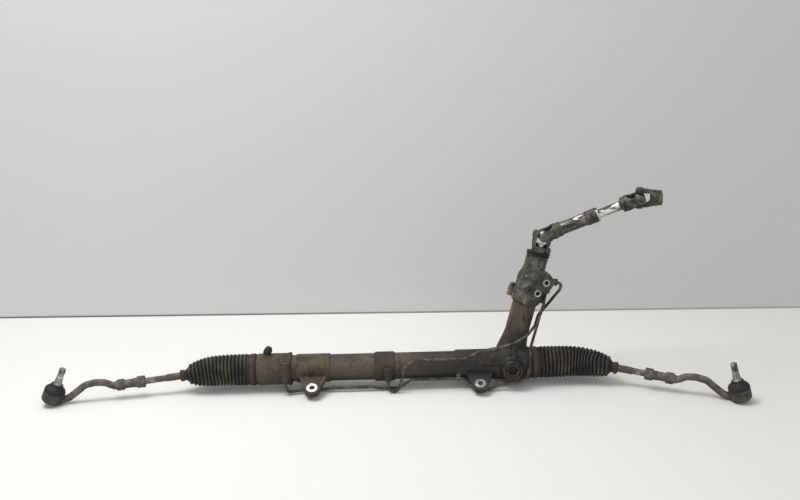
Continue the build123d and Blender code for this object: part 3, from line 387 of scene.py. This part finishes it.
finishes = {
    "casting": dirtyCasting("dirtyCasting", castLooks["end"]),
    "collarCasting": dirtyCasting("collarCasting", castLooks["collar"]),
    "gearCasting": dirtyCasting("oilyCasting", castLooks["gear"], litSide=towerLitSide),
    "valve": dirtyCasting("greyCasting", castLooks["valve"], bareAt=[((262, 33, 205), 13)]),
    "tube": dirtyTube("dirtyTube", tubeLooks),
    "bright": turnedSteel("brightSteel", tint(205, 204, 200), tint(130, 128, 122), tint(84, 66, 50),
                          rusty=0.1, rough=0.25),
    "ring": turnedSteel("machinedRing", tint(206, 206, 204), tint(150, 148, 144), tint(90, 80, 70),
                        rusty=0.05, rough=0.24, shadeStrength=0.3),
    "shaft": shaftSteel("intermediateShaft", shaftLooks),
    "rodEnd": rodEndSteel("forgedRodEnd", rodEndLooks),
    "worn": turnedSteel("wornSteel", tint(146, 143, 138), tint(84, 81, 77), tint(58, 52, 46),
                        rusty=0.3, rough=0.38, metal=0.8),
    "forged": turnedSteel("forgedSteel", tint(108, 105, 100), tint(62, 60, 57), tint(44, 40, 36),
                          rusty=0.45, rough=0.45, metal=0.7, shadeStrength=0.9),
    "pipe": turnedSteel("pipeSteel", tint(98, 94, 87), tint(60, 56, 51), tint(52, 44, 37),
                        rusty=0.5, rough=0.45, metal=0.6),
    "band": turnedSteel("rustyBand", tint(84, 76, 67), tint(60, 53, 46), tint(66, 54, 44),
                        rusty=0.8, rough=0.6, metal=0.3),
    "rusty": turnedSteel("rustySteel", tint(104, 99, 93), tint(76, 71, 66), tint(84, 72, 62),
                         rusty=0.55, rough=0.55, metal=0.45, fineness=0.7),
    "cup": turnedSteel("dirtyCup", tint(66, 62, 57), tint(44, 41, 38), tint(54, 46, 40),
                       rusty=0.8, rough=0.6, metal=0.3),
    "bolt": turnedSteel("boltSteel", tint(120, 116, 108), tint(64, 60, 56), tint(58, 48, 40),
                        rusty=0.4, rough=0.45, metal=0.7),
    "thread": turnedSteel("wornThread", tint(176, 172, 165), tint(80, 76, 71), tint(60, 52, 45),
                          rusty=0.4, rough=0.35, metal=0.8),
    "rubber": agedRubber("blackRubber", tint(30, 28, 27), tint(84, 79, 72)),
    "bellows": agedRubber("bellowsRubber", tint(30, 28, 26), tint(98, 90, 80), crest=True),
    "plastic": plainPlastic("bearingPlastic", tint(214, 208, 192), tint(170, 160, 140)),
}

wears = {
    "casting": ["cylinder_end_housing", "left_mount_bracket"],
    "collarCasting": ["centre_port_collar"],
    "gearCasting": ["pinion_housing", "pinion_bottom_cap"],
    "valve": ["valve_housing"],
    "tube": ["cylinder_tube"],
    "bright": ["left_ball_stud", "right_ball_stud", "rack_bar", "piston", "pinion_gear", "valve_sleeve",
               "torsion_bar", "input_shaft", "lower_bearing", "upper_bearing"],
    "ring": ["left_mount_bush", "right_mount_bush"],
    "shaft": ["shaft_inner", "shaft_sleeve"],
    "worn": ["left_inner_socket", "right_inner_socket", "support_yoke", "lower_cross", "upper_cross"],
    "forged": ["lower_yoke", "column_yoke"],
    "pipe": ["left_pipe", "centre_pipe", "pipe_unions", "pipe_clip", "yoke_spring"],
    "band": ["left_large_clamp", "right_large_clamp", "left_small_clamp", "right_small_clamp"],
    "rusty": ["left_inner_tie_rod", "right_inner_tie_rod", "left_lock_nut", "right_lock_nut"],
    "rodEnd": ["left_tie_rod_end", "right_tie_rod_end"],
    "cup": ["yoke_adjuster"],
    "bolt": ["valve_bolts"],
    "rubber": ["breather_nipple", "dust_seal", "left_outer_boot", "right_outer_boot", "left_bellows",
               "right_bellows"],
    "plastic": ["rack_bush", "bulkhead_seal", "left_inner_liner", "right_inner_liner", "left_outer_liner",
                "right_outer_liner"],
}
for finish, names in wears.items():
    for name in names:
        nodes[name].data.materials.clear()
        nodes[name].data.materials.append(finishes[finish])
unfinished = sorted(set(nodes) - {name for names in wears.values() for name in names})
print("finishes on", sum(map(len, wears.values())), "nodes; without:", unfinished)


# ---- surfaces

def surface(name, rings, body, finish, looped=False, extra=None):
    # Rings of points (count, around, 3) in mm from the rack's middle, joined into quads. Ends are closed by a
    # fan to the ring's centre, or with `looped` the last ring joins the first. `extra` holds values for each
    # point, by attribute name.
    count, around = rings.shape[:2]
    points = rings.reshape(-1, 3)
    i, j = np.meshgrid(np.arange(count if looped else count - 1), np.arange(around), indexing="ij")
    k, up = (j + 1) % around, (i + 1) % count
    quads = np.stack([i * around + j, i * around + k, up * around + k, up * around + j], -1).reshape(-1, 4)
    faces = quads.tolist()
    if not looped:
        points = np.vstack([points, rings[0].mean(0), rings[-1].mean(0)])
        j = np.arange(around)
        k, last = (j + 1) % around, (count - 1) * around
        faces += np.stack([k, j, np.full(around, count * around)], -1).tolist()
        faces += np.stack([last + j, last + k, np.full(around, count * around + 1)], -1).tolist()
    points = (points + rackOrigin) * mm
    a, b, c = (points[quads[:, n]] for n in (0, 1, 2))
    # The faces are turned round where this sum is negative. Its last product has the wrong sign for a signed
    # volume, so the bellows and the rod threads still face inwards.
    turning = ((a - points.mean(0)) * (np.cross(b, c) - np.cross(b, a) - np.cross(c, a))).sum()
    if turning < 0:
        faces = [face[::-1] for face in faces]
    mesh = bpy.data.meshes.new(name)
    mesh.from_pydata(points.tolist(), [], faces)
    mesh.validate()
    mesh.shade_smooth()
    if extra:
        for key, value in extra.items():
            value = np.concatenate([value.ravel(), [0.0] * (len(points) - value.size)]).astype(np.float32)
            mesh.attributes.new(key, "FLOAT", "POINT").data.foreach_set("value", value)
    mesh.materials.append(finishes[finish])
    piece = bpy.data.objects.new(name, mesh)
    bpy.context.scene.collection.objects.link(piece)
    if body:
        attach(piece, body)
    return piece


def ringsAlong(centre, tangent, radius, around=64, up=(0, 0, 1)):
    # Circles about a line: centre + radius * (cos a * across + sin a * upwards), square to the tangent.
    tangent = unit(tangent)
    across = unit(np.cross(np.broadcast_to(up, tangent.shape), tangent))
    upwards = np.cross(tangent, across)
    a = np.linspace(0, 2 * np.pi, around, endpoint=False)
    radius = radius if np.ndim(radius) == 2 else np.asarray(radius)[:, None]
    return (centre[:, None] + radius[..., None] * (np.cos(a)[None, :, None] * across[:, None]
                                                   + np.sin(a)[None, :, None] * upwards[:, None]))


# Each side in mm from the rack's middle: the housing's face, the inner ball, the tie rod's direction and
# length, the outer ball and the stud's direction.
sides = {
    "left": {"sign": -1, "face": 258, "inner": (-336, 0, 0), "line": (-0.98501, -0.16129, -0.06111),
             "length": 310, "outer": (-641.35, -50.0, -18.94), "stud": (0.41706, 0.06829, 0.90631),
             "folds": 16},
    "right": {"sign": 1, "face": 272, "inner": (371, 0, 0), "line": (0.92337, -0.37755, -0.06963),
              "length": 294, "outer": (642.47, -111.0, -20.47), "stud": (-0.25513, 0.10432, 0.96126),
              "folds": 19},
}

# Bellows: radii and distances in mm. Distances run along the centre line from the inner ball, except `start`,
# which runs from the bellows' first ring, and `overlap`, which is past the housing's face.
bellowsShape = {"large": 31.3, "small": 19.0, "cuff": 10.0, "depth": 4.4, "start": 18.0, "end": 56.0,
                "bend": 26.0, "narrowing": 4.2, "seat": 29.4, "neck": 61.0, "tip": 71.6, "wobble": 0.5,
                "creep": 0.1, "crest": 0.62, "overlap": 1.0, "rings": 640, "around": 96}


def bellows(side, at, shape):
    # The line runs along the rack, turns along a parabola of twice `bend` and follows the tie rod. With the
    # share s = (t + bend) / (2 bend), held to 0..1:
    # centre = inner ball + (rod line * s^2 - rack line * (1 - s)^2) * bend.
    # Folds are |sin|^crest waves down from the envelope, which narrows with a power of the way.
    reach = abs(at["inner"][0]) - at["face"] - shape["overlap"]
    t = np.linspace(-reach, shape["tip"], shape["rings"])
    along, line, bend = np.array([at["sign"], 0.0, 0.0]), unit(at["line"]), shape["bend"]
    s = np.clip((t + bend) / (2 * bend), 0, 1)[:, None]
    tangent = unit(along * (1 - s) + line * s)
    centre = np.array(at["inner"], float) + (line * s ** 2 - along * (1 - s) ** 2) * bend
    centre += tangent * (t - np.clip(t, -bend, bend))[:, None]
    begin = t[0] + shape["start"]
    u = np.clip((t - begin) / (shape["end"] - begin), 0, 1)
    envelope = shape["large"] + (shape["small"] - shape["large"]) * u ** shape["narrowing"]
    a = np.linspace(0, 2 * np.pi, shape["around"], endpoint=False)
    slack = np.sin(np.pi * u)[:, None] * np.sin(2 * a + 4 * u[:, None])
    phase = u[:, None] * at["folds"] + shape["creep"] * np.sin(3 * a + 9 * u[:, None])
    phase = phase + 1.6 * shape["creep"] * slack
    wave = np.abs(np.sin(np.pi * phase)) ** shape["crest"]
    inside = ((t > begin) & (t < shape["end"]))[:, None]
    radius = envelope[:, None] - shape["depth"] * (1 - wave) * inside + shape["wobble"] * (slack - 1) * inside
    radius = np.where((t < begin)[:, None], shape["seat"], radius)
    drop = np.clip((t - shape["end"]) / (shape["neck"] - shape["end"]), 0, 1)[:, None]
    neck = (radius - shape["depth"]) * (1 - drop) + shape["cuff"] * drop
    radius = np.where((t > shape["end"])[:, None], neck, radius)
    rings = ringsAlong(centre, tangent, radius, shape["around"])
    piece = surface(side + "RubberBellows", rings, None, "bellows",
                    extra={"fold": np.where(inside, wave, 0.2)})
    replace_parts(piece, side + "_bellows")
    base = (np.array(at["inner"]) + along * (t[0] + shape["start"]) + rackOrigin) * mm
    tip = (np.array(at["inner"]) + line * shape["tip"] + rackOrigin) * mm
    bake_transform(piece)
    return piece


for side, at in sides.items():
    bellows(side, at, bellowsShape)
print("bellows done")


# Flank height as a share of the pitch, rings to a turn, and points round.
threadShape = {"flank": 0.5, "steps": 10, "around": 48}


def thread(name, start, direction, low, high, core, pitch, body, finish, shape=threadShape):
    # A screw thread from low to high (mm from the start): radius = core + flank * pitch * triangle(turn),
    # with turn = z / pitch - angle / (2 pi), run out to the core at both ends.
    steps = int((high - low) / pitch * shape["steps"])
    z = np.linspace(low, high, steps)
    a = np.linspace(0, 2 * np.pi, shape["around"], endpoint=False)
    turn = (z[:, None] / pitch - a / (2 * np.pi)) % 1
    ridge = 1 - np.abs(2 * turn - 1)
    fade = np.clip(np.minimum(z - low, high - z) / pitch, 0, 1)[:, None]
    radius = core + shape["flank"] * pitch * ridge * fade
    direction = unit(direction)
    centre = np.array(start, float) + direction * z[:, None]
    up = (0, 0, 1) if abs(direction[2]) < 0.8 else (0, 1, 0)
    rings = ringsAlong(centre, np.broadcast_to(direction, centre.shape), radius, len(a), up)
    return surface(name, rings, body, finish)


# Distances in mm from the ball. The rod's thread ends `inside` the lock nut, which starts `nut` before the
# outer ball.
rodThread = {"from": 99.6, "core": 5.5, "pitch": 1.75, "nut": 171, "inside": 1}
studThread = {"from": 41, "to": 56.4, "core": 5.4, "pitch": 1.5}
for side, at in sides.items():
    thread(side + "StudThread", at["outer"], at["stud"], studThread["from"], studThread["to"],
           studThread["core"], studThread["pitch"], side + "_stud_body", "thread")
    rodEnd = at["length"] - rodThread["nut"] + rodThread["inside"]
    thread(side + "RodThread", at["inner"], at["line"], rodThread["from"], rodEnd, rodThread["core"],
           rodThread["pitch"], side + "_tie_rod_body", "thread")
print("threads done")

# Rubber breather elbow: lengths and the radii along its bend in mm, and the boss's lean in radians.
elbowShape = {"boss": (-246, 0, 0), "lean": 0.2079, "seat": 33.6, "rise": 7.0, "reach": 8.5, "top": 13.0,
              "radii": [6.6, 6.9, 7.2, 7.4, 7.3, 7.2, 7.6, 7.7, 6.6, 4.4, 1.2], "around": 32}


def breatherElbow(shape):
    # A quadratic curve from the seat, up and over to the right, with a thick rim before its closed end.
    up = np.array([math.sin(shape["lean"]), 0, math.cos(shape["lean"])])
    over = np.array([up[2], 0, -up[0]])
    u = np.linspace(0, 1, len(shape["radii"]))[:, None]
    seat = np.array(shape["boss"], float) + up * shape["seat"]
    middle, end = seat + up * shape["rise"], seat + up * shape["top"] + over * shape["reach"]
    centre = seat * (1 - u) ** 2 + middle * 2 * u * (1 - u) + end * u ** 2
    tangent = (middle - seat) * (1 - u) + (end - middle) * u
    rings = ringsAlong(centre, tangent, shape["radii"], shape["around"], (0, 1, 0))
    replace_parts(surface("breatherElbow", rings, "housing", "rubber"), "breather_nipple")


breatherElbow(elbowShape)

# Machined seats in the mouths of the two hose ports: the faces' middles, and radius and height above the face
# (below it where negative), in mm.
hosePorts = {"hosePortLow": (285.79, 4.75, 139.19), "hosePortHigh": (302.63, 6.52, 159.45)}
portAxis = unit([0.0, -0.99619, 0.08716])
seatProfile = [(6.45, 0.2), (6.3, -0.25), (4.6, -0.25), (4.3, -0.6), (4.3, -5.0), (6.45, -5.0)]
seatRadii, seatHeights = np.array(seatProfile).T
seatAround = 40
for name, face in hosePorts.items():
    centre = np.array(face) + portAxis * seatHeights[:, None]
    rings = ringsAlong(centre, np.broadcast_to(portAxis, centre.shape), seatRadii, seatAround)
    piece = surface(name, rings, "housing", "ring", looped=True)
    piece.data.shade_flat()
print("port seats done")

# ---- floor, wall, camera and light

# Colours at the left and right of the floor and wall; the darker right is painted shade, as is the dark
# strip at the wall's foot. The wall's foot runs through two points (X, Y), in metres, and the sheets reach
# `side` past them.
studio = {"floor": tint(229, 228, 226), "floorRight": tint(221, 219, 217), "wall": tint(211, 212, 211),
          "wallRight": tint(203, 202, 201), "footShade": tint(104, 100, 96), "footShadeHeight": 0.0035,
          "wallLine": ((-0.9468, 0.4676), (0.9574, 0.3974)), "gap": 0.004, "side": 4, "front": -4,
          "below": -0.05, "top": 3.5, "room": (1.0, 0.998, 0.992, 1), "roomLight": 0.62}


def sheetMesh(name, corners, colour, colourRight, footShade=None):
    # A flat sheet, with painted shade darkening it from left to right, and a strip of painted shade along
    # its foot if it has one.
    mesh = bpy.data.meshes.new(name)
    mesh.from_pydata(corners, [], [(0, 1, 2, 3)])
    g = Graph(name + "Paint")
    colour = g.mix(g.noise(1.5, 2, 0.5), colour, tuple(0.97 * c for c in colour[:3]) + (1,))
    colour = g.mix(g.axis("X").between(-0.25, 0.85), colour, colourRight)
    if footShade:
        # Painted shade at the wall's foot, deeper on the left.
        depth = 0.85 - g.axis("X").between(-0.9, 0.9) * 0.45
        colour = g.mix((1 - g.axis("Z").between(footShade[1] * 0.6, footShade[1])) * depth, colour, footShade[0])
    mesh.materials.append(g.finish(colour, 0.9, spec=0.1))
    piece = bpy.data.objects.new(name, mesh)
    bpy.context.scene.collection.objects.link(piece)
    return piece


(x0, y0), (x1, y1) = studio["wallLine"]
run = unit([x1 - x0, y1 - y0])
a, b = np.array([x0, y0]) - run * studio["side"], np.array([x1, y1]) + run * studio["side"]
front, below, top = studio["front"], studio["below"], studio["top"]
sheetMesh("tableTop", [(a[0], front, 0), (b[0], front, 0), (b[0], b[1], 0), (a[0], a[1], 0)], studio["floor"],
          studio["floorRight"])
back = np.array([-run[1], run[0]]) * studio["gap"]
sheetMesh("backWall", [(*(a + back), below), (*(b + back), below), (*(b + back), top), (*(a + back), top)],
          studio["wall"], studio["wallRight"], (studio["footShade"], studio["footShadeHeight"]))

def placed(x, y, z, at):
    # The matrix of an object with these three axes at this place.
    return Matrix([[x[i], y[i], z[i], at[i]] for i in range(3)] + [[0, 0, 0, 1]])


# Camera: focal length, picture width and sideways shift in pixels, angles in radians, sensor and place in mm,
# and the farthest distance drawn in metres.
lens = {"focalPixels": 900.0, "widthPixels": 800, "shiftPixels": 3.0277, "sensor": 36, "pitch": 0.2911340,
        "roll": math.atan(0.0262), "at": (17.0, -1576.44, 758.99), "farthest": 20}
camera = bpy.data.cameras.new("camera")
camera.sensor_width = lens["sensor"]
camera.lens = lens["focalPixels"] * lens["sensor"] / lens["widthPixels"]
camera.shift_x = lens["shiftPixels"] / lens["widthPixels"]
camera.clip_end = lens["farthest"]
forward = np.array([0, math.cos(lens["pitch"]), -math.sin(lens["pitch"])])
right = np.array([1.0, 0, 0])
up = np.cross(right, forward)
turnedRight = right * math.cos(lens["roll"]) - up * math.sin(lens["roll"])
turnedUp = right * math.sin(lens["roll"]) + up * math.cos(lens["roll"])
eye = bpy.data.objects.new("camera", camera)
eye.matrix_world = placed(turnedRight, turnedUp, -forward, np.array(lens["at"]) * mm)
bpy.context.scene.collection.objects.link(eye)
bpy.context.scene.camera = eye

world = bpy.data.worlds.new("softRoom")
world.use_nodes = True
background = world.node_tree.nodes["Background"]
background.inputs["Color"].default_value = studio["room"]
background.inputs["Strength"].default_value = studio["roomLight"]
bpy.context.scene.world = world
# Place, aim and size in metres, power in watts.
lamps = {"ceiling": {"at": (-0.7, -0.02, 2.2), "to": (0.0, 0.0, 0.0), "size": 1.15, "power": 36},
         "front": {"at": (0.6, -2.6, 1.6), "to": (0.0, 0.0, 0.1), "size": 1.4, "power": 9}}
for name, lamp in lamps.items():
    data = bpy.data.lights.new(name, "AREA")
    data.size, data.energy = lamp["size"], lamp["power"]
    light = bpy.data.objects.new(name, data)
    way = unit(np.array(lamp["at"]) - np.array(lamp["to"]))
    side = unit(np.cross((0, 1, 0.01), way))
    light.matrix_world = placed(side, np.cross(way, side), way, lamp["at"])
    bpy.context.scene.collection.objects.link(light)
bpy.context.scene.view_settings.view_transform = "Standard"
print("studio done")
